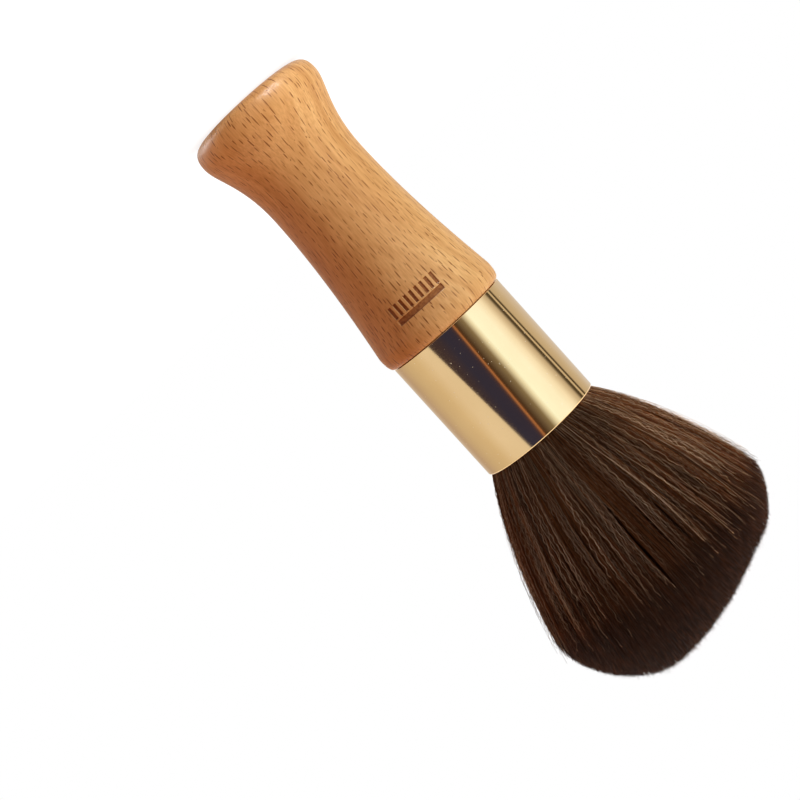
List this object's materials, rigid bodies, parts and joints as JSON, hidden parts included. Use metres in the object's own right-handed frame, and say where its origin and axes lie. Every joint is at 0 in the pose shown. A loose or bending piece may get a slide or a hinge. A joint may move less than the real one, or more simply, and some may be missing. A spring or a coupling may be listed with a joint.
{
  "type": "neck duster brush",
  "caption": "Free-standing barber's neck duster: turned wooden handle, cylindrical metal ferrule and a splayed, domed head of soft fibres.",
  "frame": {"origin": "centre of the knob's flat end, on the surface that the brush stands on", "axes": "+Z along the brush's axis, from the knob to the fibre tips; -Y is the front, where the handle is engraved"},
  "size_m": [0.068, 0.068, 0.176],
  "materials": {
    "beech": "satin",
    "ferrule_metal": "polished",
    "glue": "satin",
    "resin": "gloss",
    "thread": "matte",
    "pale_fibre": "satin",
    "dark_fibre": "satin"
  },
  "bodies": {
    "root": {"handle": "beech", "ferrule": "ferrule_metal", "tenon_adhesive": "glue", "root_resin": "resin", "binding_thread": "thread", "filler_fibres": "pale_fibre", "tip_fibres": "dark_fibre"}
  },
  "joints": []
}
